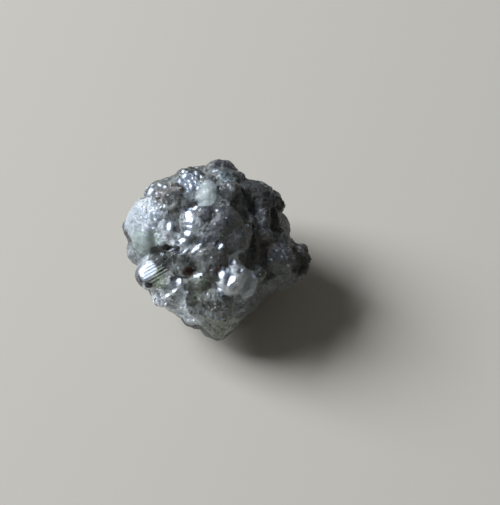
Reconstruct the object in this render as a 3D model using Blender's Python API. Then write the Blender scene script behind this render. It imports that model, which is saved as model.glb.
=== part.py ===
"""A rough diamond, about 8 mm across: one knobbly grey crystal that grew as a single piece.

Its skin starts as a ball of small triangles. Each corner is pulled in along its own ray until it
meets the stone's form, which is made of three things:

- knobs, the rounded and slightly faceted lumps of the crystal, blended where they meet
- hollows, the clefts and pits between them
- hillocks, a finer knobbly relief on their surfaces

The underside ends in one small flat, on which the stone rests. The origin is at the middle of the
stone's outline on that surface, with +Z up.
"""

import itertools
import math

import bmesh
import bpy
import numpy as np

MM = 0.001

# Driving dimensions. Lengths are in millimetres.
LEAN = math.radians(60)  # how far the stone's broad, knobbly face is tipped back from upright
REST_DEPTH = 0.38  # how much of the lowest knob the resting flat takes away
KNOB_BLEND = 0.15  # width of the crease between two knobs
HOLLOW_BLEND = 0.06  # rounding of a hollow's rim
FACETING = 0.45  # share of a crystal's flat faces in a knob's form: 0 is a ball
CORE_RADIUS = 1.6  # a knob over this radius is part of the body, and stays round
HILLOCK_SIZE = 0.62  # spacing of the hillocks
HILLOCK_HEIGHT = 0.075
TRIANGLES = 9400  # of the finished skin

# Directions of the broad face: to its right, up along it and out of it.
FACE = np.array(
    [
        (1, 0, 0),
        (0, math.sin(LEAN), math.cos(LEAN)),
        (0, -math.cos(LEAN), math.sin(LEAN)),
    ]
)

# Each knob: right, up, out, radius and, where it isn't FACETING, its own share of flat faces.
KNOBS = {
    "core": (0.0, 0.0, -0.1, 2.6),
    "core_back": (0.0, 0.1, -0.8, 2.45),
    # the pale left side
    "pale_shoulder": (-2.66, 0.80, 0.85, 1.16, 0.2),
    "pale_crown": (-2.70, 1.24, 1.1, 0.89, 0.2),
    "pale_bridge": (-2.72, 1.12, 1.32, 0.8, 0.2),
    "pale_ridge": (-2.5, 1.12, 1.66, 0.62, 0.2),
    "pale_inner": (-1.95, 0.55, 1.85, 0.62),
    "pale_base": (-2.84, 0.05, 0.5, 0.82),
    "bead": (-1.97, 1.0, 2.1, 0.24),
    "striped_knob": (-2.62, -0.95, 1.0, 0.72, 0.2),
    "striped_toe": (-2.25, -1.45, 0.6, 0.58),
    "left_root": (-2.1, -0.7, 1.0, 1.0),
    "olive_root": (-1.8, -1.35, 1.6, 0.6),
    # upper left
    "brown_dome": (-1.75, 1.85, 1.6, 0.98, 0.3),
    "brown_rim": (-2.35, 2.12, 0.8, 0.66),
    "brown_lip": (-1.97, 2.42, 1.0, 0.52),
    "sparkle_dome": (-1.1, 2.58, 1.15, 0.74),
    "sparkle_back": (-0.9, 2.62, 0.4, 0.61),
    "sparkle_front": (-1.02, 2.38, 1.78, 0.42),
    "rim_low": (-1.65, 2.5, 0.45, 0.6),
    # the milky patch
    "milk_top": (-0.35, 2.58, 1.72, 0.42, 0.2),
    "milk_mid": (-0.36, 2.1, 1.98, 0.52, 0.2),
    "milk_low": (-0.05, 2.0, 2.05, 0.4, 0.2),
    "milk_right": (0.45, 2.25, 1.78, 0.6),
    "milk_left": (-0.85, 2.2, 1.8, 0.5),
    # the top
    "top_knob": (0.0, 3.03, 0.62, 0.53),
    "top_knob_right": (0.38, 3.0, 0.55, 0.54),
    "top_saddle": (0.72, 2.55, 0.9, 0.63),
    "top_front": (0.38, 2.66, 1.22, 0.55),
    # the dark upper right
    "dark_brow": (1.3, 2.2, 0.95, 0.7),
    "dark_brow_side": (1.8, 1.8, 0.75, 0.74),
    "dark_corner": (2.13, 1.81, 0.3, 0.6),
    "dark_ear": (2.0, 1.2, 0.45, 0.72),
    "ridge_top": (1.62, 2.2, 1.12, 0.42),
    "ridge_upper": (1.76, 1.85, 1.33, 0.36),
    "ridge_middle": (1.82, 1.45, 1.43, 0.34),
    "ridge_lower": (1.9, 1.05, 1.43, 0.36),
    "ridge_foot": (2.02, 0.65, 1.32, 0.46),
    "dark_low": (2.3, 0.5, 0.6, 0.78),
    # lower right
    "cheek": (2.4, -0.4, 0.65, 1.05, 0.3),
    "cheek_tip": (3.06, -0.55, 0.15, 0.84),
    "cheek_bridge": (2.78, -0.45, 0.4, 0.85),
    "cheek_fill": (2.72, 0.22, 0.25, 0.55),
    "cheek_low": (2.0, -0.95, 0.7, 0.85),
    "cheek_under": (2.68, -0.98, 0.1, 0.74),
    # the middle
    "belly": (0.2, 0.75, 1.8, 1.25, 0.3),
    "belly_left": (-0.85, 0.95, 2.05, 0.82, 0.35),
    "belly_top": (-0.45, 1.35, 2.42, 0.5),
    "belly_middle": (0.35, 1.05, 2.62, 0.48),
    "belly_right": (0.8, 0.45, 2.4, 0.55),
    "belly_foot": (-0.3, 0.35, 2.53, 0.5),
    "belly_low": (-0.1, -0.2, 1.95, 1.08, 0.35),
    "seam_left": (-1.3, -0.3, 1.9, 0.8),
    "seam_step": (-1.55, 0.15, 2.15, 0.5),
    "ledge": (-0.78, -1.15, 1.92, 0.52),
    "bright_nodule": (0.63, -1.12, 2.38, 0.66, 0.5),
    "nodule_root": (0.9, -1.3, 1.95, 0.72, 0.3),
    "nodule_right": (1.1, -1.36, 1.78, 0.62, 0.3),
    "nub": (1.66, -0.92, 1.95, 0.34),
    # the lower front, which tapers to the toe
    "chin": (0.05, -1.7, 0.85, 1.45, 0.3),
    "chin_left": (-0.85, -1.6, 1.0, 1.2, 0.3),
    "chin_low": (0.05, -2.75, 0.45, 0.9, 0.3),
    "toe": (0.18, -3.25, 0.3, 0.58),
    "chin_right": (1.0, -1.45, 0.5, 1.1, 0.3),
    "chin_toe": (-1.71, -1.61, 0.72, 0.87),
    "chin_side": (-0.80, -2.62, 0.35, 0.70),
    "chin_rim": (-1.55, -2.22, 0.5, 0.58),
}

# Each hollow is a rounded groove: its two ends as right, up, out, and its radius.
HOLLOWS = {
    "dark_hollow": ((1.0, 1.95, 2.14), (1.03, 1.35, 2.15), 0.44),
    "ear_hollow": ((2.47, 1.6, 1.32), (2.52, 0.95, 1.36), 0.40),
    "long_cleft": ((1.42, 0.85, 2.05), (1.55, -0.6, 2.15), 0.26),
    "milk_pit": ((0.13, 2.44, 2.35), (0.13, 2.44, 2.25), 0.14),
    "cheek_cleft": ((-2.6, 0.0, 2.0), (-1.55, 0.1, 2.55), 0.14),
    "inner_cleft": ((-2.3, -0.15, 2.1), (-1.95, -0.55, 2.25), 0.22),
    "brown_pit": ((-1.15, -0.83, 2.55), (-1.15, -0.83, 2.50), 0.15),
}

# The knobs of the sides and back follow a spiral over the body, with seeded scatter.
BACK_COUNT = 64  # places on the whole spiral; those on the broad face are left to KNOBS
BACK_SEED = 7
BACK_RADII = (0.55, 1.15)
BACK_SCATTER = 0.12
BACK_LIFT = (-0.10, 0.25)
BACK_BODY = np.array((3.0, 2.85, 3.1))  # half sizes of the body that they sit on
BACK_MIDDLE = np.array((-0.14, 0.16, 0.0))
BACK_SINK = 0.75  # share of a knob's radius that lies inside the body
BROAD_FACE_FROM = 0.12  # a place that looks out of the broad face by more than this is skipped


def hashed(i, j, k, seed):
    """A fixed pseudo-random value from 0 to 1 for each lattice cell."""
    wave = np.sin(i * 127.1 + j * 311.7 + k * 74.7 + seed * 53.3) * 43758.5453
    return wave - np.floor(wave)


def value_noise(points, seed):
    """Smooth noise from -1 to 1: hashed values at the lattice corners, eased between them."""
    cell = np.floor(points)
    ease = (points - cell) ** 2 * (3 - 2 * (points - cell))
    total = np.zeros(len(points))
    for corner in itertools.product((0, 1), repeat=3):
        weight = np.prod(np.where(np.array(corner) == 1, ease, 1 - ease), axis=1)
        total += weight * hashed(*(cell + corner).T, seed)
    return 2 * total - 1


def warped(points):
    """The points shifted by three octaves of noise, so that no knob is a true ball."""
    size, shift, octaves = 0.75, 0.16, 3
    move = np.zeros_like(points)
    for axis in range(3):
        for octave in range(octaves):
            place = (points * size + 11.0 * axis) * 2**octave + 17.3 * octave
            move[:, axis] += value_noise(place, 5.0 * axis + 1 + octave) / 2**octave
    return points + shift * move


def blended_minimum(a, b, width):
    share = np.clip(0.5 + 0.5 * (b - a) / width, 0, 1)
    return b * (1 - share) + a * share - width * share * (1 - share)


def back_knobs():
    """Knobs for the sides and back, on a golden-angle spiral with seeded scatter."""
    rng = np.random.default_rng(BACK_SEED)
    found = {}
    for index in range(BACK_COUNT):
        height = 1 - (2 * index + 1) / BACK_COUNT
        turn = index * math.pi * (3 - math.sqrt(5))
        ring = math.sqrt(1 - height * height)
        way = np.array([ring * math.cos(turn), ring * math.sin(turn), height])
        way += rng.normal(size=3) * BACK_SCATTER
        way /= np.linalg.norm(way)
        radius = rng.uniform(*BACK_RADII)
        lift = rng.uniform(*BACK_LIFT)
        if way[2] > BROAD_FACE_FROM:
            continue
        reach = 1 / np.linalg.norm(way / BACK_BODY)
        centre = BACK_MIDDLE + way * (reach + lift - radius * BACK_SINK)
        found[f"back_{index}"] = (*centre, radius)
    return found


def crystal_faces(name):
    """Seven face directions, four octahedral and three cubic, turned at random for this knob.

    The letters of the knob's name are the seed.
    """
    octahedral = np.array([(1, y, z) for y in (-1, 1) for z in (-1, 1)]) / math.sqrt(3)
    seed = list(name.replace("_", "").encode())
    turned, upper = np.linalg.qr(np.random.default_rng(seed).normal(size=(3, 3)))
    return turned * np.sign(np.diag(upper)) @ np.concatenate([octahedral, np.eye(3)]).T


def knob_table():
    """All the knobs: centre, radius, share of flat faces, and face directions."""
    table = []
    for name, row in {**KNOBS, **back_knobs()}.items():
        faceting = row[4] if len(row) > 4 else FACETING
        table.append((np.array(row[:3]), row[3], faceting, crystal_faces(name)))
    return table


def depth_over_stone(points, table):
    """How far each point lies outside the stone's form, in mm; inside it is negative."""
    reach, polygon_growth = 0.7, 1.05
    places = warped(points)
    depth = np.full(len(points), 9.0)
    for centre, radius, faceting, faces in table:
        offset = places - centre
        away = np.linalg.norm(offset, axis=1)
        body = radius > CORE_RADIUS
        near = np.flatnonzero(away < radius + (9 if body else reach))
        distance = away[near]
        if not body:
            across = np.abs(offset[near] @ faces).max(axis=1) * polygon_growth
            distance = distance * (1 - faceting) + across * faceting
        depth[near] = blended_minimum(depth[near], distance - radius, KNOB_BLEND)
    for start, end, radius in HOLLOWS.values():
        start, along = np.array(start), np.array(end) - np.array(start)
        share = np.clip((places - start) @ along / (along @ along), 0, 1)
        away = np.linalg.norm(places - start - share[:, None] * along, axis=1)
        depth = -blended_minimum(-depth, away - radius, HOLLOW_BLEND)
    return depth


def pulled_in(rays, table):
    """The rays' ends, walked in from outside until they meet the stone's form."""
    start, caution, close_enough, most_steps = 5.0, 0.8, 0.002, 30
    length = np.full(len(rays), start)
    moving = np.arange(len(rays))
    for _ in range(most_steps):
        depth = depth_over_stone(rays[moving] * length[moving, None], table)
        length[moving] -= caution * depth
        moving = moving[np.abs(depth) > close_enough]
        if not len(moving):
            break
    return rays * length[:, None]


def outward(skin, triangles):
    """The outward direction of the skin at each corner, from the triangles that meet there."""
    first, second, third = (skin[triangles[:, corner]] for corner in range(3))
    slant = np.cross(second - first, third - first)
    total = np.empty_like(skin)
    for axis in range(3):
        weights = np.repeat(slant[:, axis], 3)
        total[:, axis] = np.bincount(triangles.ravel(), weights=weights)
    return total / np.linalg.norm(total, axis=1, keepdims=True)


def evened_out(skin, triangles, table, rounds=16):
    """The skin's corners slid along the form until they are evenly spaced on its steep parts too."""
    share_of_move, most_correction = 0.6, 0.05
    start, end = triangles[:, (0, 1, 2)].ravel(), triangles[:, (1, 2, 0)].ravel()
    neighbours = np.bincount(start)[:, None]
    for _ in range(rounds):
        middle = np.empty_like(skin)
        for axis in range(3):
            middle[:, axis] = np.bincount(start, weights=skin[end, axis])
        move = middle / neighbours - skin
        out = outward(skin, triangles)
        move -= (move * out).sum(axis=1, keepdims=True) * out
        skin = skin + share_of_move * move
        depth = np.clip(depth_over_stone(skin, table), -most_correction, most_correction)
        skin = skin - depth[:, None] * out
    return skin


def hillocks(points):
    """Domes from 0 to 1 high around one jittered seed point in each lattice cell."""
    places = points / HILLOCK_SIZE
    cell = np.floor(places)
    nearest = np.full(len(points), 9.0)
    for shift in itertools.product((-1, 0, 1), repeat=3):
        corner = cell + shift
        jitter = np.stack([hashed(*corner.T, seed) for seed in (3, 4, 5)], axis=1)
        nearest = np.minimum(nearest, ((corner + jitter - places) ** 2).sum(axis=1))
    return np.clip(1 - nearest, 0, 1)


def stone_skin():
    """The skin's corners, in mm in the stone's own frame, with the lowest REST_DEPTH below 0."""
    ball = bmesh.new()
    bmesh.ops.create_icosphere(ball, subdivisions=7, radius=1.0)
    rays = np.array([vertex.co for vertex in ball.verts])
    table = knob_table()
    triangles = np.array([[vertex.index for vertex in face.verts] for face in ball.faces])
    skin = evened_out(pulled_in(rays, table), triangles, table)
    skin += outward(skin, triangles) * (hillocks(skin)[:, None] - 0.5) * HILLOCK_HEIGHT
    skin = skin @ FACE
    low, high = skin.min(axis=0), skin.max(axis=0)
    skin -= (*((low + high)[:2] / 2), low[2] + REST_DEPTH)
    for vertex, place in zip(ball.verts, skin):
        vertex.co = place * MM
    mesh = bpy.data.meshes.new("rough_diamond")
    ball.to_mesh(mesh)
    ball.free()
    return mesh


def diamond_material():
    material = bpy.data.materials.new("grey_diamond")
    material.use_nodes = True
    shader = material.node_tree.nodes["Principled BSDF"]
    shader.inputs["Base Color"].default_value = (0.16, 0.17, 0.17, 1)
    shader.inputs["Roughness"].default_value = 0.2
    shader.inputs["Metallic"].default_value = 0.0
    shader.inputs["IOR"].default_value = 2.417
    material.diffuse_color = (0.16, 0.17, 0.17, 1)
    return material


def add_object(name, mesh):
    added = bpy.data.objects.new(name, mesh)
    bpy.context.scene.collection.objects.link(added)
    return added


def resting_cutter():
    """A block under the surface that the stone rests on, wider than the stone."""
    width, depth = 12 * MM, 4 * MM
    shape = bmesh.new()
    bmesh.ops.create_cube(shape, size=1.0)
    bmesh.ops.scale(shape, verts=shape.verts, vec=(width, width, depth))
    bmesh.ops.translate(shape, verts=shape.verts, vec=(0, 0, -depth / 2))
    mesh = bpy.data.meshes.new("resting_cutter")
    shape.to_mesh(mesh)
    shape.free()
    cutter = add_object("resting_cutter", mesh)
    cutter.hide_render = True
    cutter.display_type = "WIRE"
    return cutter


def rough_diamond():
    mesh = stone_skin()
    mesh.materials.append(diamond_material())
    stone = add_object("rough_diamond", mesh)
    thin = stone.modifiers.new("fewer_triangles", "DECIMATE")
    thin.ratio = TRIANGLES / len(mesh.polygons)
    flat = stone.modifiers.new("resting_flat", "BOOLEAN")
    flat.operation = "DIFFERENCE"
    flat.object = resting_cutter()


for old in list(bpy.data.objects):
    bpy.data.objects.remove(old)
rough_diamond()
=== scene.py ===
import itertools
import math
import time

import bpy
import numpy as np
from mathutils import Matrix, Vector


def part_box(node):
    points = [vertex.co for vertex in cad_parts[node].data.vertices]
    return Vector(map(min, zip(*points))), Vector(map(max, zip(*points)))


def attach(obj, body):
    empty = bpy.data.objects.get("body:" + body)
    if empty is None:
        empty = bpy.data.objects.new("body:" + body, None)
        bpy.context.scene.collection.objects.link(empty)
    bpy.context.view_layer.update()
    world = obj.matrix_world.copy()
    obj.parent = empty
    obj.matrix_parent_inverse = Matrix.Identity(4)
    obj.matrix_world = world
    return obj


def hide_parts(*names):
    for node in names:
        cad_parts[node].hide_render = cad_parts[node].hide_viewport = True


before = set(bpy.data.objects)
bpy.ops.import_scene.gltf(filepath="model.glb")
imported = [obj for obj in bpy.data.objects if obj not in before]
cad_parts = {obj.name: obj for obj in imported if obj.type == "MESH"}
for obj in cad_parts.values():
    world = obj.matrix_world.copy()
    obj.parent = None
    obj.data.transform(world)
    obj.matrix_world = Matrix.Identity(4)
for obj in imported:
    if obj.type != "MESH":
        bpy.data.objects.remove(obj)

startTime = time.time()
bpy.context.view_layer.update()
mm = 0.001  # every length below is in millimetres


# One printed line for each stage, with the seconds since the start.
def report(stage):
    print(f"{time.time() - startTime:6.1f} s  {stage}")


# The stone's own directions. Each knob, patch and facet below is placed by how far it is right, up
# and out of the broad, knobbly face, in millimetres from the stone's middle.
lean = math.radians(60)  # that face is tipped back this far from upright
faceAxes = np.array([
    (1, 0, 0),  # right
    (0, math.sin(lean), math.cos(lean)),  # up
    (0, -math.cos(lean), math.sin(lean)),  # out
])

windowWay = np.array((-0.72, 0.27, 0.64))  # from the stone to the window light
windowWay = windowWay / np.linalg.norm(windowWay)
glintWay = faceAxes @ (windowWay + faceAxes[2])  # a facet square to this mirrors the window out
glintWay = glintWay / np.linalg.norm(glintWay)

stone = {
    "gridSteps": 128,  # quads along each of the ball's six patches
    "crease": 0.15,  # width of the crease between two knobs
    "rimRounding": 0.06,  # of a hollow
    "faceting": 0.45,  # share of a crystal's flat faces in a knob: 0 is a ball
    "hillockSize": 0.62,
    "hillockHeight": 0.075,
    "eveningRounds": 12,  # how often the grid is evened out
    # right, up, out, radius and, where it isn't the faceting above, the knob's own
    "knobs": {
        "core": (0.0, 0.0, -0.1, 2.6),
        "coreBack": (0.0, 0.1, -0.8, 2.45),
        # the pale left side
        "paleShoulder": (-2.66, 0.80, 0.85, 1.16, 0.2),
        "paleCrown": (-2.70, 1.24, 1.1, 0.89, 0.2),
        "paleBridge": (-2.72, 1.12, 1.32, 0.8, 0.2),
        "paleRidge": (-2.5, 1.12, 1.66, 0.62, 0.2),
        "paleInner": (-1.95, 0.55, 1.85, 0.62),
        "paleBase": (-2.84, 0.05, 0.5, 0.82),
        "bead": (-1.97, 1.0, 2.1, 0.24),
        "stripedKnob": (-2.62, -0.95, 1.0, 0.72, 0.2),
        "stripedToe": (-2.25, -1.45, 0.6, 0.58),
        "leftRoot": (-2.1, -0.7, 1.0, 1.0),
        "oliveRoot": (-1.8, -1.35, 1.6, 0.6),
        # upper left
        "brownDome": (-1.75, 1.85, 1.6, 0.98, 0.3),
        "brownRim": (-2.35, 2.12, 0.8, 0.66),
        "brownLip": (-1.97, 2.42, 1.0, 0.52),
        "sparkleDome": (-1.1, 2.58, 1.15, 0.74),
        "sparkleBack": (-0.9, 2.62, 0.4, 0.61),
        "sparkleFront": (-1.02, 2.38, 1.78, 0.42),
        "rimLow": (-1.65, 2.5, 0.45, 0.6),
        # the milky patch
        "milkTop": (-0.35, 2.58, 1.72, 0.42, 0.2),
        "milkMid": (-0.36, 2.1, 1.98, 0.52, 0.2),
        "milkLow": (-0.05, 2.0, 2.05, 0.4, 0.2),
        "milkRight": (0.45, 2.25, 1.78, 0.6),
        "milkLeft": (-0.85, 2.2, 1.8, 0.5),
        # the top
        "topKnob": (0.0, 3.03, 0.62, 0.53),
        "topKnobRight": (0.38, 3.0, 0.55, 0.54),
        "topSaddle": (0.72, 2.55, 0.9, 0.63),
        "topFront": (0.38, 2.66, 1.22, 0.55),
        # the dark upper right
        "darkBrow": (1.3, 2.2, 0.95, 0.7),
        "darkBrowSide": (1.8, 1.8, 0.75, 0.74),
        "darkCorner": (2.13, 1.81, 0.3, 0.6),
        "darkEar": (2.0, 1.2, 0.45, 0.72),
        "ridgeTop": (1.62, 2.2, 1.12, 0.42),
        "ridgeUpper": (1.76, 1.85, 1.33, 0.36),
        "ridgeMiddle": (1.82, 1.45, 1.43, 0.34),
        "ridgeLower": (1.9, 1.05, 1.43, 0.36),
        "ridgeFoot": (2.02, 0.65, 1.32, 0.46),
        "darkLow": (2.3, 0.5, 0.6, 0.78),
        # lower right
        "cheek": (2.4, -0.4, 0.65, 1.05, 0.3),
        "cheekTip": (3.06, -0.55, 0.15, 0.84),
        "cheekBridge": (2.78, -0.45, 0.4, 0.85),
        "cheekFill": (2.72, 0.22, 0.25, 0.55),
        "cheekLow": (2.0, -0.95, 0.7, 0.85),
        "cheekUnder": (2.68, -0.98, 0.1, 0.74),
        # the middle
        "belly": (0.2, 0.75, 1.8, 1.25, 0.3),
        "bellyLeft": (-0.85, 0.95, 2.05, 0.82, 0.35),
        "bellyTop": (-0.45, 1.35, 2.42, 0.5),
        "bellyMiddle": (0.35, 1.05, 2.62, 0.48),
        "bellyRight": (0.8, 0.45, 2.4, 0.55),
        "bellyFoot": (-0.3, 0.35, 2.53, 0.5),
        "bellyLow": (-0.1, -0.2, 1.95, 1.08, 0.35),
        "seamLeft": (-1.3, -0.3, 1.9, 0.8),
        "seamStep": (-1.55, 0.15, 2.15, 0.5),
        "ledge": (-0.78, -1.15, 1.92, 0.52),
        "brightNodule": (0.63, -1.12, 2.38, 0.66, 0.5),
        "noduleRoot": (0.9, -1.3, 1.95, 0.72, 0.3),
        "noduleRight": (1.1, -1.36, 1.78, 0.62, 0.3),
        "nub": (1.66, -0.92, 1.95, 0.34),
        # the lower front, which tapers to the toe
        "chin": (0.05, -1.7, 0.85, 1.45, 0.3),
        "chinLeft": (-0.85, -1.6, 1.0, 1.2, 0.3),
        "chinLow": (0.05, -2.75, 0.45, 0.9, 0.3),
        "toe": (0.18, -3.25, 0.3, 0.58),
        "chinRight": (1.0, -1.45, 0.5, 1.1, 0.3),
        "chinToe": (-1.71, -1.61, 0.72, 0.87),
        "chinSide": (-0.80, -2.62, 0.35, 0.70),
        "chinRim": (-1.55, -2.22, 0.5, 0.58),
        "crustBead": (-2.24, -1.93, 0.95, 0.32),  # too small for the solid
    },
    # each hollow is a rounded groove: its two ends and its radius
    "hollows": {
        "darkHollow": ((1.0, 1.95, 2.14), (1.03, 1.35, 2.15), 0.44),
        "earHollow": ((2.47, 1.6, 1.32), (2.52, 0.95, 1.36), 0.40),
        "longCleft": ((1.42, 0.85, 2.05), (1.55, -0.6, 2.15), 0.26),
        "milkPit": ((0.13, 2.44, 2.35), (0.13, 2.44, 2.25), 0.14),
        "cheekCleft": ((-2.6, 0.0, 2.0), (-1.55, 0.1, 2.55), 0.14),
        "innerCleft": ((-2.3, -0.15, 2.1), (-1.95, -0.55, 2.25), 0.22),
        "brownPit": ((-1.15, -0.83, 2.55), (-1.15, -0.83, 2.50), 0.15),
    },
    # the knobs of the sides and back lie on a spiral over an oval body
    "backCount": 64,
    "backSeed": 7,
    "backRadii": (0.55, 1.15),
    "backScatter": 0.12,
    "backLift": (-0.10, 0.25),
    "backBody": (3.0, 2.85, 3.1),
    "backMiddle": (-0.14, 0.16, 0.0),
    "backSink": 0.75,  # share of a knob's radius that lies inside the body
    "broadFaceFrom": 0.12,  # places that look out of the broad face by more are skipped
}


# A fixed pseudo-random value from 0 to 1 for each lattice cell: the fraction of a large sine.
def latticeHash(i, j, k, seed):
    wave = np.sin(i * 127.1 + j * 311.7 + k * 74.7 + seed * 53.3) * 43758.5453
    return wave - np.floor(wave)


# Smooth noise from -1 to 1: the hashes at a cell's eight corners, eased between them.
def valueNoise(points, seed):
    cell = np.floor(points)
    ease = (points - cell) ** 2 * (3 - 2 * (points - cell))
    total = np.zeros(len(points))
    for corner in itertools.product((0, 1), repeat=3):
        weight = np.prod(np.where(np.array(corner) == 1, ease, 1 - ease), axis=1)
        total += weight * latticeHash(*(cell + corner).T, seed)
    return 2 * total - 1


layerShift = 17.3  # between two layers of noise, so that their lattices don't line up


# Layers of that noise, each half as large and half as strong as the one before.
def layeredNoise(points, size, layers, seed):
    total = np.zeros(len(points))
    for layer in range(layers):
        place = points / size * 2**layer + layerShift * layer
        total += valueNoise(place, seed + layer) / 2**layer
    return total


# The points shifted by noise along each axis, so that no knob is a true ball.
def warped(points):
    size, strength, layers, axisShift, axisSeed = 0.75, 0.16, 3, 11.0, 5.0
    move = np.zeros_like(points)
    for axis in range(3):
        for layer in range(layers):
            place = (points * size + axisShift * axis) * 2**layer + layerShift * layer
            move[:, axis] += valueNoise(place, axisSeed * axis + 1 + layer) / 2**layer
    return points + strength * move


# The lesser of two distances, eased by a parabola where they differ by less than the width.
def blendedMinimum(a, b, width):
    share = np.clip(0.5 + 0.5 * (b - a) / width, 0, 1)
    return b * (1 - share) + a * share - width * share * (1 - share)


# Knobs for the sides and back: golden-angle steps around a ball, scattered, on an oval body.
def backKnobs():
    rng = np.random.default_rng(stone["backSeed"])
    found = {}
    for index in range(stone["backCount"]):
        height = 1 - (2 * index + 1) / stone["backCount"]
        turn = index * math.pi * (3 - math.sqrt(5))
        ring = math.sqrt(1 - height * height)
        way = np.array([ring * math.cos(turn), ring * math.sin(turn), height])
        way += rng.normal(size=3) * stone["backScatter"]
        way /= np.linalg.norm(way)
        radius = rng.uniform(*stone["backRadii"])
        lift = rng.uniform(*stone["backLift"])
        if way[2] > stone["broadFaceFrom"]:
            continue
        reach = 1 / np.linalg.norm(way / stone["backBody"])
        centre = stone["backMiddle"] + way * (reach + lift - radius * stone["backSink"])
        found[f"back{index}"] = (*centre, radius)
    return found


# Seven face directions of a crystal, four octahedral and three cubic, turned at random: the
# letters of the knob's name are the seed.
def crystalFaces(name):
    octahedral = np.array([(1, y, z) for y in (-1, 1) for z in (-1, 1)]) / math.sqrt(3)
    seed = list(name.lower().encode())
    turned, upper = np.linalg.qr(np.random.default_rng(seed).normal(size=(3, 3)))
    return turned * np.sign(np.diag(upper)) @ np.concatenate([octahedral, np.eye(3)]).T


# Every knob's middle, radius, faceting and crystal faces.
def knobTable():
    table = []
    for name, row in {**stone["knobs"], **backKnobs()}.items():
        faceting = row[4] if len(row) > 4 else stone["faceting"]
        table.append((np.array(row[:3]), row[3], faceting, crystalFaces(name)))
    return table


# Distance outside the stone's form: the blended least distance to any knob, where a knob's
# distance is part that of a ball and part that of its crystal faces, less the hollows.
def depthOverStone(points, table):
    reach, faceGrowth, coreRadius, far = 0.7, 1.05, 1.6, 9.0
    places = warped(points)
    depth = np.full(len(points), far)
    for centre, radius, faceting, faces in table:
        offset = places - centre
        away = np.linalg.norm(offset, axis=1)
        body = radius > coreRadius
        near = np.flatnonzero(away < radius + (far if body else reach))
        distance = away[near]
        if not body:
            across = np.abs(offset[near] @ faces).max(axis=1) * faceGrowth
            distance = distance * (1 - faceting) + across * faceting
        depth[near] = blendedMinimum(depth[near], distance - radius, stone["crease"])
    for start, end, radius in stone["hollows"].values():
        start, along = np.array(start), np.array(end) - np.array(start)
        share = np.clip((places - start) @ along / (along @ along), 0, 1)
        away = np.linalg.norm(places - start - share[:, None] * along, axis=1)
        depth = -blendedMinimum(-depth, away - radius, stone["rimRounding"])
    return depth


# A ball as six square patches: each grid point is (tan u, tan v, 1) brought to length 1, and the
# patches' shared edges are merged, to nine decimals.
def cubeSphere(steps):
    tangent = np.tan(np.linspace(-math.pi / 4, math.pi / 4, steps + 1))
    u, v = np.meshgrid(tangent, tangent, indexing="ij")
    corner = np.arange(u.size).reshape(u.shape)
    ring = [corner[:-1, :-1], corner[1:, :-1], corner[1:, 1:], corner[:-1, 1:]]
    ring = np.stack(ring, axis=-1).reshape(-1, 4)
    patches, quads = [], []
    for turn, side in itertools.product(range(3), (1, -1)):
        patch = np.stack([u, v * side, np.full_like(u, side)], axis=-1)
        quads.append(ring + len(patches) * u.size)
        patches.append(np.roll(patch, turn, axis=-1).reshape(-1, 3))
    points, place = np.unique(np.concatenate(patches).round(9), axis=0, return_inverse=True)
    points /= np.linalg.norm(points, axis=1, keepdims=True)
    return points, place.ravel()[np.concatenate(quads)]


# The ray through each grid point, walked in from outside until it meets the form.
def pulledIn(rays, table):
    start, caution, closeEnough, mostSteps = 5.0, 0.8, 0.002, 30
    length = np.full(len(rays), start)
    moving = np.arange(len(rays))
    for _ in range(mostSteps):
        depth = depthOverStone(rays[moving] * length[moving, None], table)
        length[moving] -= caution * depth
        moving = moving[np.abs(depth) > closeEnough]
        if not len(moving):
            break
    return rays * length[:, None]


# Unit normals: at each corner, the sum of the cross products of its quads' diagonals.
def outward(skin, quads):
    first, second, third, fourth = (skin[quads[:, corner]] for corner in range(4))
    slant = np.cross(third - first, fourth - second)
    total = np.empty_like(skin)
    for axis in range(3):
        weights = np.repeat(slant[:, axis], 4)
        total[:, axis] = np.bincount(quads.ravel(), weights=weights)
    return total / np.maximum(np.linalg.norm(total, axis=1, keepdims=True), 1e-9)


# The mean of each corner's neighbours on the grid.
def neighbourMean(values, quads):
    start, end = quads.ravel(), np.roll(quads, -1, axis=1).ravel()
    count = np.bincount(start) + np.bincount(end)
    columns = []
    for column in values.reshape(len(values), -1).T:
        total = np.bincount(start, weights=column[end]) + np.bincount(end, weights=column[start])
        columns.append(total / count)
    return np.stack(columns, axis=1).reshape(values.shape)


# Corners slid along the form towards their neighbours' middle, then set back on it.
def evenedOut(skin, quads, table, rounds):
    shareOfMove, mostCorrection = 0.6, 0.05
    for _ in range(rounds):
        out = outward(skin, quads)
        move = neighbourMean(skin, quads) - skin
        move -= (move * out).sum(axis=1, keepdims=True) * out
        skin = skin + shareOfMove * move
        depth = np.clip(depthOverStone(skin, table), -mostCorrection, mostCorrection)
        skin = skin - depth[:, None] * out
    return skin


# For each point, the nearest jittered seed of a lattice: offset from it, and its cell's numbers.
def nearestSeed(points, size, seed):
    places = points / size
    cell = np.floor(places)
    nearest = np.full(len(points), np.inf)
    offset = np.zeros_like(points)
    owner = np.zeros_like(points)
    for shift in itertools.product((-1, 0, 1), repeat=3):
        corner = cell + shift
        jitter = np.stack([latticeHash(*corner.T, seed + axis) for axis in range(3)], axis=1)
        away = places - corner - jitter
        square = (away**2).sum(axis=1)
        closer = square < nearest
        nearest[closer] = square[closer]
        offset[closer] = away[closer]
        owner[closer] = corner[closer]
    return offset, owner


# Domes from 0 to 1: one less the square of the distance to the nearest seed, in seed spacings.
def hillocks(points, size, seed):
    offset, _ = nearestSeed(points, size, seed)
    return np.clip(1 - (offset**2).sum(axis=1), 0, 1)


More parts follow.
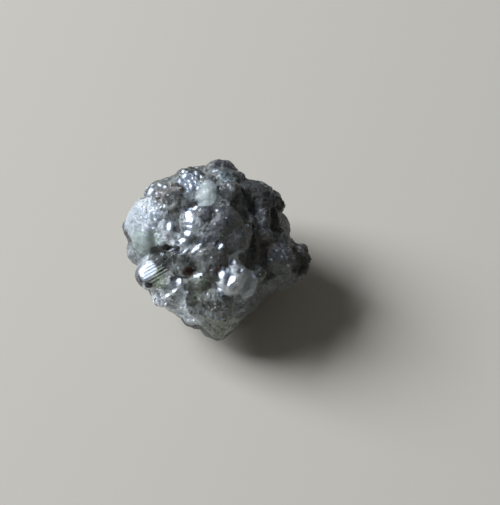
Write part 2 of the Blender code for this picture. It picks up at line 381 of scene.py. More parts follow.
# Broken facets: round each seed the height rises along a random slope, so every cell is a tilted
# flat with a step at its border.
def brokenFacets(points, size, seed):
    offset, owner = nearestSeed(points, size, seed)
    slope = np.stack([latticeHash(*owner.T, seed + 7 + axis) for axis in range(3)], axis=1) - 0.5
    return (offset * slope).sum(axis=1)


# The stone's relief, from growth terraces down to grains.
relief = {
    # growth terraces, parallel to one plane: middle, radius, tilt of the plane off the glint
    # direction, height of a step, share
    "terraces": {
        "seam": ((-1.68, 0.24, 2.2), 0.60, (0.25, 0.35, 0.0), 0.065, 0.8),
        "bellyFlank": ((-1.12, 1.08, 2.9), 0.55, (0.0, 0.0, 0.0), 0.085, 0.5),
        "paleFoot": ((-2.0, 0.55, 2.3), 0.45, (0.2, 0.0, 0.0), 0.060, 0.7),
        "chinEdge": ((-1.7, -2.0, 1.6), 0.95, (0.1, -0.1, 0.0), 0.075, 0.3),
        "nodule": ((0.5, -1.0, 2.9), 0.65, (0.0, 0.0, 0.0), 0.080, 0.6),
    },
    # patches broken into small facets: middle, radius, facet size, height
    "broken": {
        "sparkleDome": ((-1.2, 2.9, 1.6), 0.95, 0.17, 0.16),
        "nodule": ((0.66, -1.05, 2.85), 0.80, 0.26, 0.13),
        "paleCrown": ((-2.7, 1.6, 1.9), 1.10, 0.16, 0.13),
        "paleRim": ((-3.4, 1.2, 1.0), 0.9, 0.14, 0.09),
        "chinEdge": ((-1.9, -1.8, 1.5), 1.0, 0.20, 0.08),
        "chin": ((0.0, -2.4, 1.9), 1.60, 0.18, 0.06),
        "cheek": ((2.6, -0.2, 1.6), 1.40, 0.18, 0.05),
        "cheekTip": ((3.5, -0.4, 0.9), 1.00, 0.34, 0.24),
        "darkEdge": ((2.4, 2.2, 0.5), 1.00, 0.24, 0.16),
        "darkSide": ((2.0, 1.6, 1.4), 1.40, 0.22, 0.10),
        "top": ((0.4, 3.0, 1.4), 1.10, 0.20, 0.09),
    },
    # all over the stone; the last number is the share of it that the smoother patches lose
    "everywhere": (0.30, 0.035, 0.7),  # small facets: size, height
    "swell": (0.60, 4, 0.035, 0.5),  # size of the largest swells, layers, height
    "pits": (0.42, 0.30, 0.055, 0.6),  # spacing, share of the places that have one, depth
    "grain": (0.13, 0.022, 0.7),  # size, height
    # the smoother patches: middle, radius
    "smooth": [((-3.0, 0.25, 1.6), 0.8), ((-0.35, 2.05, 2.5), 0.8)],
    "patchRim": 0.45,  # share of a patch's radius over which it fades out
    "edgeWaver": (0.5, 3, 0.22),  # how a patch's edge wavers: size, layers, share of the radius
    "levelWaver": (0.9, 2, 0.5),  # how a terrace's level wavers: size, layers, share of a step
    "seeds": {"edge": 1, "hillocks": 3, "grain": 13, "everywhere": 23, "levels": 31, "broken": 41,
              "zones": 61, "swell": 83, "pits": 91},
}


# 1 in the middle of a patch, 0 from its radius outward, with a wavering edge.
def patchShare(points, waver, middle, radius):
    away = np.linalg.norm(points - np.array(middle), axis=1) / radius + waver
    share = np.clip((1 - away) / relief["patchRim"], 0, 1)
    return share * share * (3 - 2 * share)


# Layered noise that moves the edges of patches in and out.
def edgeWaver(points, seed):
    size, layers, strength = relief["edgeWaver"]
    return strength * layeredNoise(points, size, layers, seed)


# Each point goes its share of the way to the nearest of a stack of parallel planes.
def terraced(points, way, step, share):
    size, layers, strength = relief["levelWaver"]
    way = way / np.linalg.norm(way)
    level = points @ way / step
    level += strength * layeredNoise(points, size, layers, relief["seeds"]["levels"])
    return points + way * (step * (np.round(level) - level) * share)[:, None]


# Round pits at some of a lattice's seeds, each with a width of its own: the depth falls off with
# the square of the distance.
def pitted(points, size, share, seed):
    least, spread = 0.2, 0.25
    offset, owner = nearestSeed(points, size, seed)
    chosen = latticeHash(*owner.T, seed + 11) < share
    width = least + spread * latticeHash(*owner.T, seed + 12)
    return chosen * np.clip(1 - (offset**2).sum(axis=1) / width**2, 0, 1)


# The skin moved out along its normals by the sum of all the relief, and then terraced.
def carved(skin, quads):
    seeds = relief["seeds"]
    out = outward(skin, quads)
    waver = edgeWaver(skin, seeds["edge"])
    calm = np.zeros(len(skin))
    for middle, radius in relief["smooth"]:
        calm = np.maximum(calm, patchShare(skin, waver, middle, radius))
    height = hillocks(skin, stone["hillockSize"], seeds["hillocks"]) - 0.5
    height *= stone["hillockHeight"]
    size, layers, rise, loss = relief["swell"]
    height += layeredNoise(skin, size, layers, seeds["swell"]) * rise * (1 - loss * calm)
    size, share, depth, loss = relief["pits"]
    height -= pitted(skin, size, share, seeds["pits"]) * depth * (1 - loss * calm)
    size, rise, loss = relief["everywhere"]
    height += brokenFacets(skin, size, seeds["everywhere"]) * rise * (1 - loss * calm)
    for number, (middle, radius, size, rise) in enumerate(relief["broken"].values()):
        share = patchShare(skin, waver, middle, radius)
        touched = share > 0
        facets = brokenFacets(skin[touched], size, seeds["broken"] + number)
        height[touched] += share[touched] * facets * rise
    size, rise, loss = relief["grain"]
    height += (hillocks(skin, size, seeds["grain"]) - 0.5) * rise * (1 - loss * calm)
    skin = skin + out * height[:, None]
    for middle, radius, tilt, step, most in relief["terraces"].values():
        share = patchShare(skin, waver, middle, radius) * most
        touched = share > 0
        skin[touched] = terraced(skin[touched], glintWay + tilt, step, share[touched])
    return skin


# The mirror-bright facets.
glints = {
    "edge": 0.3,  # share of a facet over which it runs out into the skin
    "tiltScatter": 0.05,
    "mostDepth": 0.26,  # how far a facet may cut into the skin or stand over it
    "depthFade": 0.06,  # over the last of which it runs out
    "near": (0.08, 0.02),  # a facet's depth is the middling one of the skin this close to it
    "front": 0.15,  # the skin that looks out of the broad face by more can carry its facets
    "behind": 0.1,  # and that which looks out by less carries the other sides'
    "bunching": 1.6,  # strewn facets gather towards their patch's middle by this
    "mostSlant": 60,
    "seed": 5,
    # the sides and back have facets of their own: count, least and largest size, tilt
    "around": (90, 0.14, 0.42, 0.2),
    # right, up, width, height, slant in degrees
    "facets": [
        # the flank of the belly
        (-1.10, 1.62, 0.22, 0.14, 20), (-0.87, 1.66, 0.24, 0.18, 40),
        (-1.13, 1.40, 0.30, 0.36, -12), (-1.10, 1.14, 0.36, 0.26, -12),
        (-1.16, 0.68, 0.30, 0.34, -16), (-1.42, 0.36, 0.36, 0.24, 20),
        # the middle
        (-0.80, 0.08, 0.18, 0.56, -48), (0.16, 0.14, 0.26, 0.20, 35), (0.02, 1.57, 0.12, 0.12, 0),
        (-0.76, -1.04, 0.42, 0.18, 6),
        # the bright nodule
        (0.22, -1.01, 0.28, 0.36, 8), (0.60, -1.25, 0.36, 0.50, -20), (0.70, -0.50, 0.34, 0.24, 20),
        (1.01, -0.87, 0.14, 0.20, 0), (0.12, -1.62, 0.26, 0.24, 30), (0.44, -0.80, 0.16, 0.18, 0),
        # the bead
        (-1.95, 0.93, 0.26, 0.36, 0),
        # the striped knob and its toe
        (-2.87, -0.86, 0.74, 0.60, 25), (-2.86, -1.64, 0.36, 0.12, -8),
        # the lower left edge
        (-1.57, -1.30, 0.32, 0.32, 0), (-1.73, -1.63, 0.30, 0.36, 12),
        (-2.00, -1.88, 0.30, 0.30, -20), (-1.60, -1.95, 0.26, 0.34, 15),
        (-2.30, -1.90, 0.30, 0.28, 20), (-1.86, -2.18, 0.18, 0.16, 0),
        (-1.90, -2.36, 0.26, 0.24, 0), (-1.64, -2.44, 0.24, 0.22, 20),
        (-1.46, -2.70, 0.28, 0.24, 30), (-1.22, -2.91, 0.13, 0.18, 0),
        (-1.00, -2.90, 0.14, 0.24, -20), (-2.25, -2.06, 0.16, 0.14, 0),
        # the brown rim and the top knob
        (-2.80, 2.39, 0.22, 0.34, -35), (-2.35, 2.62, 0.34, 0.12, -35),
        (-2.13, 2.54, 0.14, 0.16, 0), (-0.08, 3.23, 0.24, 0.12, 0),
        # the cheek
        (3.44, 0.09, 0.10, 0.10, 0), (2.18, -0.40, 0.14, 0.08, 0), (1.25, 0.97, 0.12, 0.10, 0),
        # streaks over the slit
        (-1.74, 0.08, 0.50, 0.13, 22), (-1.30, -0.06, 0.34, 0.12, 30),
        # one more on the flank of the belly
        (-1.09, 0.93, 0.32, 0.16, -24),
        # the pale shoulder
        (-3.05, 0.80, 0.14, 0.12, 20), (-2.62, 0.88, 0.16, 0.11, -20), (-2.90, 0.58, 0.12, 0.10, 0),
    ],
    # small ones, strewn: right, up, how far across and along, count, least and largest size
    "strewn": {
        "sparkleDome": (-1.05, 2.77, 0.36, 0.38, 46, 0.08, 0.22),
        "paleCrown": (-2.8, 1.6, 0.60, 0.45, 60, 0.06, 0.15),
        "brownRim": (-2.6, 2.5, 0.35, 0.25, 8, 0.06, 0.12),
        "chinEdge": (-1.65, -2.0, 0.40, 0.60, 30, 0.07, 0.14),
        "chin": (0.1, -2.4, 0.8, 0.7, 16, 0.04, 0.09),
        "nodule": (0.5, -1.0, 0.40, 0.45, 10, 0.05, 0.12),
        "seam": (-2.0, -0.1, 0.45, 0.35, 8, 0.03, 0.06),
        "belly": (-0.5, 0.9, 0.9, 0.8, 9, 0.04, 0.08),
        "teal": (0.55, 2.75, 0.40, 0.25, 6, 0.05, 0.09),
        "cheek": (2.8, -0.1, 0.8, 0.5, 9, 0.04, 0.08),
    },
}


# The broad face's facets all lie square to the glint direction, each about the skin that looks
# out of that face there. Those of the sides and back follow the skin at a random corner. Each is
# its middle, normal, a way along it, width, height, and 1 if it carries the painted glint halo
# (a pale colour standing in for the halo round its reflection) or 0 if it doesn't.
def allFacets(skin, out):
    rng = np.random.default_rng(glints["seed"])
    rows = []
    for right, up, across, along, count, least, most in glints["strewn"].values():
        for _ in range(count):
            width, height = rng.uniform(least, most, size=2)
            place = rng.normal(size=2) * (across / glints["bunching"], along / glints["bunching"])
            slant = rng.uniform(-glints["mostSlant"], glints["mostSlant"])
            rows.append((right + place[0], up + place[1], width, height, slant))
    rows += glints["facets"]
    front = skin[out[:, 2] > glints["front"]]
    near, extra = glints["near"]
    facets = []
    for right, up, width, height, slant in rows:
        away = np.hypot(front[:, 0] - right, front[:, 1] - up)
        depth = np.median(front[away < max(near, away.min() + extra), 2])
        way = glintWay + rng.normal(size=3) * glints["tiltScatter"]
        turn = math.radians(slant)
        side = np.array((math.cos(turn), math.sin(turn), 0.0))
        # the broad face's facets carry the painted glint halo (1); those of the sides and back
        # don't (0)
        facets.append((np.array((right, up, depth)), way, side, width, height, 1))
    count, least, most, tilt = glints["around"]
    behind = np.flatnonzero(out[:, 2] < glints["behind"])
    for corner in rng.choice(behind, count):
        way = out[corner] + rng.normal(size=3) * tilt
        facets.append((skin[corner], way, rng.normal(size=3), *rng.uniform(least, most, size=2), 0))
    return facets


# A facet is laid on the skin: inside its outline each corner moves along the facet's normal onto
# the plane through the facet's middle. The outline is a rounded rectangle: the cubes of the
# shares of half its width and half its height add up to 1. The other two results are how far each
# corner belongs to a facet, and to one that carries the painted glint halo.
def withGlints(skin, quads):
    skin, out = skin.copy(), outward(skin, quads)
    polish, pale = np.zeros(len(skin)), np.zeros(len(skin))
    for middle, way, side, width, height, haloPainted in allFacets(skin, out):
        way = way / np.linalg.norm(way)
        side = side - side @ way * way
        side = side / np.linalg.norm(side)
        close = (np.abs(skin - middle) < width + height).all(axis=1)
        near = np.flatnonzero(close & (out @ way > 0))
        offset = skin[near] - middle
        across = np.abs(offset @ side) / (width / 2)
        along = np.abs(offset @ np.cross(way, side)) / (height / 2)
        over = offset @ way
        share = (1 + glints["edge"] - (across**3 + along**3) ** (1 / 3)) / glints["edge"]
        share = np.minimum(share, (glints["mostDepth"] - np.abs(over)) / glints["depthFade"])
        share = np.clip(share, 0, 1)
        skin[near] -= (share * over)[:, None] * way
        polish[near] = np.maximum(polish[near], share)
        # the painted glint halo: a pale colour that stands in for the light round a glint
        pale[near] = np.maximum(pale[near], share * haloPainted)
    return skin, polish, pale


# Where each colour lies: patches, each a middle and a radius. They become shares on the mesh.
zones = {
    # a light, hazy cast; some patches are painted light, lifting skin that lies in shade, such as
    # the upper right hollow and the right side
    "hazeAndPaintedLight": [
        ((-2.6, 0.4, 1.6), 1.3), ((0.9, -1.2, 2.8), 1.1), ((-2.92, -0.85, 1.7), 0.6),
        ((-3.2, -0.2, 0.9), 0.9), ((-1.9, -1.95, 1.5), 1.1), ((-1.45, 2.65, 2.1), 0.65),
        ((-0.06, -2.42, 2.2), 0.75), ((-1.1, -2.3, 1.9), 0.5), ((1.3, -1.45, 2.5), 0.6),
        ((-1.1, 2.3, 2.35), 0.5), ((-1.7, 0.9, 2.6), 1.2), ((-1.85, 0.3, 2.45), 0.8),
        ((-2.65, 0.4, 2.0), 0.8), ((-1.6, -1.7, 2.1), 1.2), ((0.3, 2.0, 2.4), 0.4),
        ((-2.75, -1.55, 1.5), 0.62), ((-0.85, 2.35, 2.2), 0.6), ((-1.6, 1.6, 2.6), 0.7),
        ((1.33, 1.8, 1.6), 0.6), ((2.4, 0.5, 1.35), 0.45), ((0.9, -2.3, 1.8), 0.6),
    ],
    # a greenish, see-through cast
    "olive": [((-0.68, -1.6, 2.3), 0.8), ((0.1, -3.1, 1.2), 1.0)],
    "teal": [
        ((0.44, 2.88, 1.8), 0.55), ((-2.65, 0.6, 2.0), 0.35), ((-3.4, 0.5, 1.6), 0.35),
        ((-2.0, -0.3, 2.3), 0.7),
    ],
    "slate": [
        ((0.35, 2.33, 2.3), 0.35), ((1.75, 1.6, 1.7), 0.55), ((1.85, 0.9, 1.8), 0.45),
        ((0.2, 3.4, 1.0), 0.6), ((2.6, 0.0, 1.6), 0.8), ((-0.46, 0.68, 3.05), 0.7),
        ((-0.08, 1.3, 3.0), 0.8), ((-0.5, 1.65, 3.0), 0.5),
    ],
    # pale, cloudy, bright under the light; some patches are painted light on skin that faces away
    # from the window, and the one right of the belly's flank glint is a painted glint halo
    "pale": [
        ((-3.1, 1.3, 1.5), 1.25), ((-2.75, 1.4, 1.9), 0.9), ((-1.95, 0.93, 2.4), 0.4),
        ((0.75, -1.15, 2.85), 1.2), ((-2.88, -0.82, 1.7), 0.6), ((-1.9, 0.55, 2.5), 0.55),
        ((-1.6, -2.5, 1.1), 0.85), ((-1.15, -2.95, 1.0), 0.6), ((-1.75, -1.9, 2.0), 0.8),
        ((1.22, -1.52, 2.45), 0.72), ((-0.98, 0.9, 2.95), 0.55), ((0.8, -0.6, 2.65), 0.6),
        ((-1.45, 2.6, 2.2), 0.35), ((-2.7, 1.1, 2.1), 0.6), ((-1.5, 0.2, 2.5), 0.55),
        ((1.1, -0.75, 2.5), 0.6), ((-3.0, 0.4, 1.8), 0.9), ((-0.85, -2.8, 1.5), 0.4),
        ((-1.2, 2.38, 2.35), 0.45),
    ],
    # the pale, whitish nodule, and painted light: whitened patches beside glints and on skin turned
    # away from the window
    "whiteAndPaintedLight": [
        ((0.62, -1.12, 2.85), 0.95), ((0.92, -0.65, 2.5), 0.45), ((-1.02, 0.9, 2.95), 0.4),
        ((-1.9, 0.5, 2.5), 0.45), ((-1.53, 0.17, 2.53), 0.4), ((-3.0, 1.95, 1.75), 0.5),
        ((-1.55, -1.3, 2.25), 0.35), ((-2.75, -1.55, 1.5), 0.4), ((-2.7, 0.22, 1.95), 0.35),
    ],
    # a pale crust along the lower left edge, painted whiter than it is: painted light on an edge
    # that faces down and away from the window
    "crust": [
        ((-1.85, -1.9, 1.7), 0.85), ((-1.7, -2.45, 1.2), 0.9), ((-1.2, -2.75, 1.1), 0.6),
        ((-2.45, -1.9, 1.1), 0.45),
    ],
    "jade": [((-3.05, 0.2, 1.75), 0.75), ((-2.65, 0.35, 2.05), 0.6), ((-2.3, 0.15, 2.3), 0.4)],
    # milky and frosted
    "milk": [((-0.33, 2.62, 2.2), 0.42), ((-0.40, 2.1, 2.5), 0.60)],
    "brown": [
        ((-1.7, 2.4, 2.4), 0.45), ((0.25, -0.5, 3.0), 0.5), ((3.4, -0.3, 1.0), 0.8),
        ((-2.1, 2.05, 2.5), 0.55), ((2.0, 0.25, 1.5), 0.6), ((0.35, -2.3, 1.9), 0.5),
    ],
    "green": [((-2.25, -1.2, 1.95), 0.6), ((-2.2, -1.65, 1.75), 0.5)],
    "moss": [
        ((-1.85, -0.9, 2.15), 0.5), ((-0.25, -2.15, 2.2), 0.65), ((-0.12, -1.05, 2.8), 0.45),
        ((-1.05, -1.6, 2.25), 0.42), ((-1.05, -2.05, 2.05), 0.4), ((-2.6, -0.2, 1.75), 0.4),
        ((-1.76, 1.85, 2.6), 0.5), ((-1.95, 1.9, 2.55), 0.4),
    ],
    # dark inclusions close under the skin, and painted shade: darker patches along the clefts,
    # hollows and the brown fold, and on the shaded right side and tip
    "dark": [
        ((2.3, 1.4, 1.3), 0.75), ((1.5, 0.1, 2.2), 0.5), ((1.56, -0.5, 2.2), 0.34),
        ((2.3, 2.0, 1.0), 0.8), ((-2.28, -0.08, 2.1), 0.40), ((0.17, 2.33, 2.3), 0.16),
        ((-2.84, -1.4, 1.6), 0.24), ((2.0, 2.1, 1.6), 0.62), ((3.45, -0.55, 0.9), 0.8),
        ((-0.15, -0.5, 2.9), 0.5), ((0.35, 2.28, 2.35), 0.3), ((-2.0, -0.25, 2.35), 0.7),
        ((1.4, 2.65, 1.3), 0.85), ((1.72, -0.9, 2.2), 0.3), ((-1.6, 0.88, 2.55), 0.32),
        ((-2.0, 2.18, 2.5), 0.16), ((-1.8, 2.24, 2.5), 0.17), ((-1.6, 2.22, 2.55), 0.18),
        ((-1.42, 2.18, 2.55), 0.12), ((-1.92, 2.0, 2.55), 0.3), ((-2.5, -0.25, 1.8), 0.3),
        ((-2.4, -0.4, 1.9), 0.34), ((-2.15, -0.42, 2.0), 0.36), ((1.05, 1.05, 2.15), 0.45),
    ],
    # iron-stained pinholes
    "rust": [((-1.18, -0.82, 2.4), 0.28), ((0.07, -0.80, 2.85), 0.22)],
    # broken into small bright faces
    "glitter": [
        ((-1.2, 2.8, 1.8), 1.1), ((-2.75, 1.5, 1.9), 1.1), ((-2.7, 2.3, 1.4), 0.8),
        ((0.5, -1.0, 2.9), 0.8), ((-1.9, -2.0, 1.5), 1.3), ((-1.1, -2.6, 1.6), 0.8),
        ((-1.1, 1.1, 2.9), 0.8), ((-1.9, 0.1, 2.3), 0.8), ((0.45, 2.8, 1.8), 0.7),
    ],
    # ground by nature into fine parallel lines
    "striped": [((-2.55, -1.08, 1.8), 0.62)],
}


# The greatest share that any of the patches has at each corner.
def zoneShare(skin, waver, patches):
    share = np.zeros(len(skin))
    for middle, radius in patches:
        share = np.maximum(share, patchShare(skin, waver, middle, radius))
    return share


# A mesh from arrays of points and of faces.
def makeMesh(name, points, faces):
    mesh = bpy.data.meshes.new(name)
    mesh.from_pydata(points.tolist(), [], faces.tolist())
    mesh.validate()
    return mesh


# One number for each corner, which a material can read by its name.
def addShare(mesh, name, values):
    layer = mesh.attributes.new(name, "FLOAT", "POINT")
    layer.data.foreach_set("value", values.astype(np.float32))


# An object at the origin, in the scene.
def addObject(name, data):
    added = bpy.data.objects.new(name, data)
    bpy.context.scene.collection.objects.link(added)
    return added


# The stone's grid is turned upright and fitted to the solid: sides to its sides, top to its top.
def seated(skin):
    low, high = (np.array(corner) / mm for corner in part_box("rough_diamond"))
    skin = skin @ faceAxes
    skinLow, skinHigh = skin.min(axis=0), skin.max(axis=0)
    scale = (high - low)[:2] / (skinHigh - skinLow)[:2]
    scale = np.append(scale, scale.mean())
    shift = np.append(low[:2] - skinLow[:2] * scale[:2], high[2] - skinHigh[2] * scale[2])
    skin = skin * scale + shift
    skin[:, 2] = np.maximum(skin[:, 2], low[2])
    return skin, shift


table = knobTable()
rays, quads = cubeSphere(stone["gridSteps"])
report(f"grid of {len(rays)} corners")
skin = pulledIn(rays, table)
report("pulled in to the form")
skin = evenedOut(skin, quads, table, stone["eveningRounds"])
report("evened out")
skin = carved(skin, quads)
skin, polish, paintedGlintHalo = withGlints(skin, quads)
report("relief and facets")
points, stoneMiddle = seated(skin)
mesh = makeMesh("diamond_skin", points * mm, quads)
waver = edgeWaver(skin, relief["seeds"]["zones"])
for name, patches in zones.items():
    addShare(mesh, name, zoneShare(skin, waver, patches))
addShare(mesh, "polish", polish)
# the share of the painted glint halo, a pale colour standing in for the light round each glint
addShare(mesh, "paintedGlintHalo", paintedGlintHalo)
mesh.shade_smooth()
diamond = addObject("diamond_skin", mesh)
report("mesh")


# sRGB hex to the linear colour that a shader takes.
def linear(code):
    light = []
    for place in (1, 3, 5):
        part = int(code[place:place + 2], 16) / 255
        light.append(part / 12.92 if part <= 0.04045 else ((part + 0.055) / 1.055) ** 2.4)
    return (*light, 1)


# A node with its settings; each input, by name or number, is a value or another node's output.
def addNode(tree, kind, settings, inputs):
    node = tree.nodes.new(kind)
    for name, value in settings.items():
        setattr(node, name, value)
    for socket, value in inputs.items():
        if isinstance(value, bpy.types.NodeSocket):
            tree.links.new(value, node.inputs[socket])
        else:
            node.inputs[socket].default_value = value
    return node


# Natural grey diamond, as it grew: no cut or polish. Its skin is frosted by minute growth steps,
# so it is a soft grey that sparkles only where a flat face is left. The body is cloudy and full
# of specks, so its grey breaks up into fine grains of blue, green and brown. Real growth steps,
# grains, specks and broken faces are mostly under 0.05 mm across, too fine to show, so the fleck,
# grain and speck noises, the faces and the lines below are drawn two to ten times as coarse.
greyDiamond = {
    "ior": 2.417,  # of diamond
    "body": "#525656",
    # noises: size in millimetres, layers
    "noises": {
        "cloud": (0.9, 5.0),
        "fleck": (0.26, 4.0),
        "grain": (0.11, 3.0),
        "speck": (0.16, 1.0),
    },
    "noiseRoughness": 0.6,
    # colours that show where a noise is high: colour, noise, where it starts and where it is full
    "veils": [
        ("#5d635c", "cloud", 0.42, 0.60),
        ("#686f76", "fleck", 0.46, 0.64),
        ("#5b5c5c", "grain", 0.50, 0.66),
    ],
    # each zone's colour lies over those before it
    "zoneColours": {
        # a hazy cast, and in part painted light on skin in shade
        "hazeAndPaintedLight": "#8b9295",
        "olive": "#8a9288",
        "teal": "#76868a",
        "slate": "#4c5057",
        # pale and cloudy, and in part painted light and a painted glint halo
        "pale": "#b6c0c7",
        # whitish, and in part painted light
        "whiteAndPaintedLight": "#dbe1e6",
        "jade": "#aebdbc",
        "milk": "#abb6b8",
        "brown": "#605c59",
        "green": "#5d6a55",
        "moss": "#4e544f",
        # dark: soot close under the skin, and painted shade in clefts, hollows and folds
        "dark": "#36393a",
        "rust": "#4c260e",
        # painted highlight: the bluish halo round the glints of the broad face's facets
        "paintedGlintHalo": "#abb7c7",
        # the pale crust, painted whiter to stand in for light on its down-facing edge
        "crust": "#e2ecf6",
    },
    # how far the flecks shift a zone's border, and the shares between which it runs
    "border": (0.8, 0.25, 0.75),
    "grainShade": (0.36, 0.64, 0.50, 1.60),  # the grain noise's span, and the shades it makes
    "pepper": ("#1c1d1d", 0.33, 0.27),  # dark specks: colour, where the noise starts, where full
    "salt": ("#b3babf", 0.69, 0.76),  # pale specks
    "cloudyShade": 0.3,  # share of the grains and specks that is left where it is pale or milky
    "roughness": (0.3, 0.7, 0.50, 0.66),  # the fleck noise's span, and the roughness it makes
    "pitRoughness": 0.9,  # where the dark zone lies: soot, and painted shade
    "facetRoughness": 0.23,
    "faceSize": 0.15,  # small broken faces, each of which slopes its own way
    "faceSlope": 0.9,
    "faceSpan": (0.25, 1.0),  # how strong they are in general, and where the stone glitters
    "facetFaces": 0.15,  # share of them that is left on a facet
    "brightFaces": (0.64, 0.68),  # a face whose own number is over this is a mirror
    "glow": 0.6,  # share of the light that enters and comes out close by
    "glowReach": 0.5,
    "shine": 0.28,
    "bump": 0.03,
    "bumpStrength": (0.7, 0.3),  # on the skin, and on a facet
    "lineSpacing": 0.13,  # of the growth lines on the striped knob
    "lineWay": (-0.5, 0.87, 0.0),  # right, up and out, across them
    "lineDepth": 1.1,
}


# The finish above, as nodes: colour, then broken faces, roughness, bump and shader.
def greyDiamondMaterial():
    look = greyDiamond
    material = bpy.data.materials.new("grey_diamond_as_grown")
    material.use_nodes = True
    tree = material.node_tree
    tree.nodes.clear()
    place = addNode(tree, "ShaderNodeTexCoord", {}, {}).outputs["Object"]
    noises, shares = {}, {}
    for name, (size, layers) in look["noises"].items():
        inputs = {"Vector": place, "Scale": 1 / (size * mm), "Detail": layers,
                  "Roughness": look["noiseRoughness"]}
        noises[name] = addNode(tree, "ShaderNodeTexNoise", {}, inputs).outputs["Fac"]
    for name in (*zones, "polish", "paintedGlintHalo"):
        settings = {"attribute_name": name}
        shares[name] = addNode(tree, "ShaderNodeAttribute", settings, {}).outputs["Fac"]

    # the colour: the body, the veils and zones over it, the grains' shade, and the specks
    colour = linear(look["body"])
    layers = []
    for code, name, start, full in look["veils"]:
        span = {0: noises[name], 1: start, 2: full}
        layers.append((addNode(tree, "ShaderNodeMapRange", {}, span).outputs[0], code))
    wobble, start, full = look["border"]
    # some zones paint light or shade rather than the stone's own colour: the glints' halo, light
    # lifted onto skin in shade, and shade in clefts, hollows and folds
    for name, code in look["zoneColours"].items():
        ragged = addNode(tree, "ShaderNodeMath", {"operation": "MULTIPLY_ADD"},
                         {0: noises["fleck"], 1: wobble, 2: shares[name]}).outputs[0]
        span = {0: ragged, 1: start + wobble / 2, 2: full + wobble / 2}
        layers.append((addNode(tree, "ShaderNodeMapRange", {}, span).outputs[0], code))
    for share, code in layers:
        colour = addNode(tree, "ShaderNodeMix", {"data_type": "RGBA"},
                         {0: share, 6: colour, 7: linear(code)}).outputs[2]
    low, high, darkest, lightest = look["grainShade"]
    shade = addNode(tree, "ShaderNodeMapRange", {},
                    {0: noises["grain"], 1: low, 2: high, 3: darkest, 4: lightest}).outputs[0]
    cloudy = addNode(tree, "ShaderNodeMath", {"operation": "ADD"},
                     {0: shares["pale"], 1: shares["milk"]}).outputs[0]
    strength = addNode(tree, "ShaderNodeMapRange", {},
                       {0: cloudy, 3: 1.0, 4: look["cloudyShade"]}).outputs[0]
    colour = addNode(tree, "ShaderNodeMix", {"data_type": "RGBA", "blend_type": "MULTIPLY"},
                     {0: strength, 6: colour, 7: shade}).outputs[2]
    for code, start, full in (look["pepper"], look["salt"]):
        share = addNode(tree, "ShaderNodeMapRange", {},
                        {0: noises["speck"], 1: start, 2: full}).outputs[0]
        share = addNode(tree, "ShaderNodeMath", {"operation": "MULTIPLY"},
                        {0: share, 1: strength}).outputs[0]
        colour = addNode(tree, "ShaderNodeMix", {"data_type": "RGBA"},
                         {0: share, 6: colour, 7: linear(code)}).outputs[2]

    # the broken faces: round each cell's middle the height rises along the cell's own slope
    cells = addNode(tree, "ShaderNodeTexVoronoi", {},
                    {"Vector": place, "Scale": 1 / (look["faceSize"] * mm)})
    offset = addNode(tree, "ShaderNodeVectorMath", {"operation": "SUBTRACT"},
                     {0: place, 1: cells.outputs["Position"]})
    slope = addNode(tree, "ShaderNodeVectorMath", {"operation": "SUBTRACT"},
                    {0: cells.outputs["Color"], 1: (0.5, 0.5, 0.5)})
    tilt = addNode(tree, "ShaderNodeVectorMath", {"operation": "DOT_PRODUCT"},
                   {0: offset.outputs[0], 1: slope.outputs[0]})
    least, most = look["faceSpan"]
    glitter = addNode(tree, "ShaderNodeMapRange", {},
                      {0: shares["glitter"], 3: least, 4: most}).outputs[0]
    uneven = addNode(tree, "ShaderNodeMapRange", {},
                     {0: shares["polish"], 3: 1.0, 4: look["facetFaces"]}).outputs[0]
    uneven = addNode(tree, "ShaderNodeMath", {"operation": "MULTIPLY"},
                     {0: uneven, 1: glitter}).outputs[0]
    faces = addNode(tree, "ShaderNodeMath", {"operation": "MULTIPLY"},
                    {0: tilt.outputs["Value"], 1: uneven}).outputs[0]

    # the roughness: the flecks', then the dark zone's (soot and painted shade), then that of facets
    # and of bright broken faces
    low, high, least, most = look["roughness"]
    rough = addNode(tree, "ShaderNodeMapRange", {},
                    {0: noises["fleck"], 1: low, 2: high, 3: least, 4: most}).outputs[0]
    rough = addNode(tree, "ShaderNodeMix", {},
                    {0: shares["dark"], 2: rough, 3: look["pitRoughness"]}).outputs[0]
    rough = addNode(tree, "ShaderNodeMix", {},
                    {0: shares["polish"], 2: rough, 3: look["facetRoughness"]}).outputs[0]
    start, full = look["brightFaces"]
    bright = addNode(tree, "ShaderNodeMapRange", {},
                     {0: cells.outputs["Color"], 1: start, 2: full}).outputs[0]
    bright = addNode(tree, "ShaderNodeMath", {"operation": "MULTIPLY"},
                     {0: bright, 1: glitter}).outputs[0]
    rough = addNode(tree, "ShaderNodeMix", {},
                    {0: bright, 2: rough, 3: look["facetRoughness"]}).outputs[0]

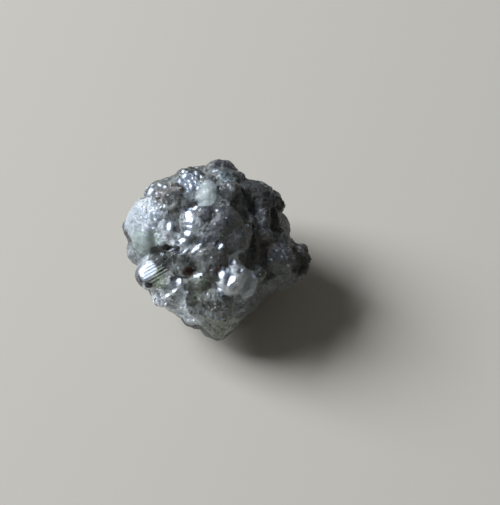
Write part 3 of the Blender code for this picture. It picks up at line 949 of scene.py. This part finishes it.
    # the bump: flecks and grains, the striped knob's lines as a sine wave, and the broken faces
    across = np.array(look["lineWay"]) @ faceAxes * (2 * math.pi / (look["lineSpacing"] * mm))
    level = addNode(tree, "ShaderNodeVectorMath", {"operation": "DOT_PRODUCT"},
                    {0: place, 1: across})
    line = addNode(tree, "ShaderNodeMath", {"operation": "SINE"}, {0: level.outputs["Value"]})
    line = addNode(tree, "ShaderNodeMath", {"operation": "MULTIPLY"},
                   {0: line.outputs[0], 1: shares["striped"]}).outputs[0]
    height = addNode(tree, "ShaderNodeMath", {"operation": "ADD"},
                     {0: noises["fleck"], 1: noises["grain"]}).outputs[0]
    height = addNode(tree, "ShaderNodeMath", {"operation": "MULTIPLY_ADD"},
                     {0: line, 1: look["lineDepth"], 2: height}).outputs[0]
    height = addNode(tree, "ShaderNodeMath", {"operation": "MULTIPLY_ADD"},
                     {0: faces, 1: look["faceSlope"] / (look["bump"] * mm), 2: height}).outputs[0]
    onSkin, onFacet = look["bumpStrength"]
    strength = addNode(tree, "ShaderNodeMapRange", {},
                       {0: shares["polish"], 3: onSkin, 4: onFacet}).outputs[0]
    bump = addNode(tree, "ShaderNodeBump", {},
                   {"Strength": strength, "Distance": look["bump"] * mm, "Height": height})
    shader = addNode(tree, "ShaderNodeBsdfPrincipled", {}, {
        "Base Color": colour, "Roughness": rough, "IOR": look["ior"],
        "Specular IOR Level": look["shine"], "Subsurface Weight": look["glow"],
        "Subsurface Radius": (1.0, 1.0, 1.0), "Subsurface Scale": look["glowReach"] * mm,
        "Normal": bump.outputs["Normal"]})
    addNode(tree, "ShaderNodeOutputMaterial", {}, {"Surface": shader.outputs[0]})
    return material


mesh.materials.append(greyDiamondMaterial())
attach(diamond, "root")
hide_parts("rough_diamond")
report("material")


# The floor, and a window's soft light from the upper left.
studio = {
    "floorSide": 600,
    "windowDistance": 300,
    "windowSide": 160,
    "aimHeight": 3,  # how far above the floor the window is aimed
    "windowPower": 1.15,
    "windowColour": "#f3f8ff",
    "fill": 0.10,  # strength of the light from all round
    "fillColour": "#ece9e2",
    # uncoated card, pressed and dried: plain, pale and without any gloss
    "floorColour": "#d7d2c7",
    "floorRoughness": 0.9,
}


# One square.
def makeFloor():
    side = studio["floorSide"] / 2 * mm
    corners = np.array([(-side, -side, 0), (side, -side, 0), (side, side, 0), (-side, side, 0)])
    floor = addObject("floor", makeMesh("floor", corners, np.array([(0, 1, 2, 3)])))
    material = bpy.data.materials.new("uncoated_card")
    material.use_nodes = True
    shader = material.node_tree.nodes["Principled BSDF"]
    shader.inputs["Base Color"].default_value = linear(studio["floorColour"])
    shader.inputs["Roughness"].default_value = studio["floorRoughness"]
    floor.data.materials.append(material)


# Turned so that its own Z axis points the given way; lights and cameras look the other way.
def aimed(thing, way):
    thing.rotation_mode = "QUATERNION"
    thing.rotation_quaternion = Vector(way).to_track_quat("Z", "Y")


# A square light, and a faint even light from all round.
def makeWindow():
    light = bpy.data.lights.new("window", "AREA")
    light.energy = studio["windowPower"]
    light.size = studio["windowSide"] * mm
    light.color = linear(studio["windowColour"])[:3]
    window = addObject("window", light)
    aim = Vector((0, 0, studio["aimHeight"]))
    window.location = (Vector(windowWay) * studio["windowDistance"] + aim) * mm
    aimed(window, windowWay)
    world = bpy.data.worlds.new("room")
    bpy.context.scene.world = world
    world.use_nodes = True
    background = world.node_tree.nodes["Background"]
    background.inputs["Color"].default_value = linear(studio["fillColour"])
    background.inputs["Strength"].default_value = studio["fill"]


view = {
    "frameSize": (500, 505),  # pixels across and down
    "pixel": 0.042,  # millimetres at the stone's middle for one pixel
    "stoneAt": (218.0, 249.5),  # the pixel where the stone's middle stands
    "lens": 100.0,
    "sensor": 36.0,
    "nearest": 1,  # what is closer than this isn't shown
}


# The camera looks straight at the broad face. It stands as far off as makes the frame's height the
# right number of millimetres at the stone's middle.
def makeCamera():
    lens = bpy.data.cameras.new("camera")
    lens.lens, lens.sensor_width = view["lens"], view["sensor"]
    lens.clip_start = view["nearest"] * mm
    camera = addObject("camera", lens)
    width, height = view["frameSize"]
    right = (width / 2 - view["stoneAt"][0]) * view["pixel"]
    up = (view["stoneAt"][1] - height / 2) * view["pixel"]
    distance = height * view["pixel"] * view["lens"] / view["sensor"]
    aim = stoneMiddle + faceAxes[0] * right + faceAxes[1] * up
    camera.location = Vector((aim + faceAxes[2] * distance) * mm)
    aimed(camera, faceAxes[2])
    bpy.context.scene.camera = camera


makeFloor()
makeWindow()
makeCamera()
bpy.context.scene.view_settings.view_transform = "Standard"
report("floor, light and camera")
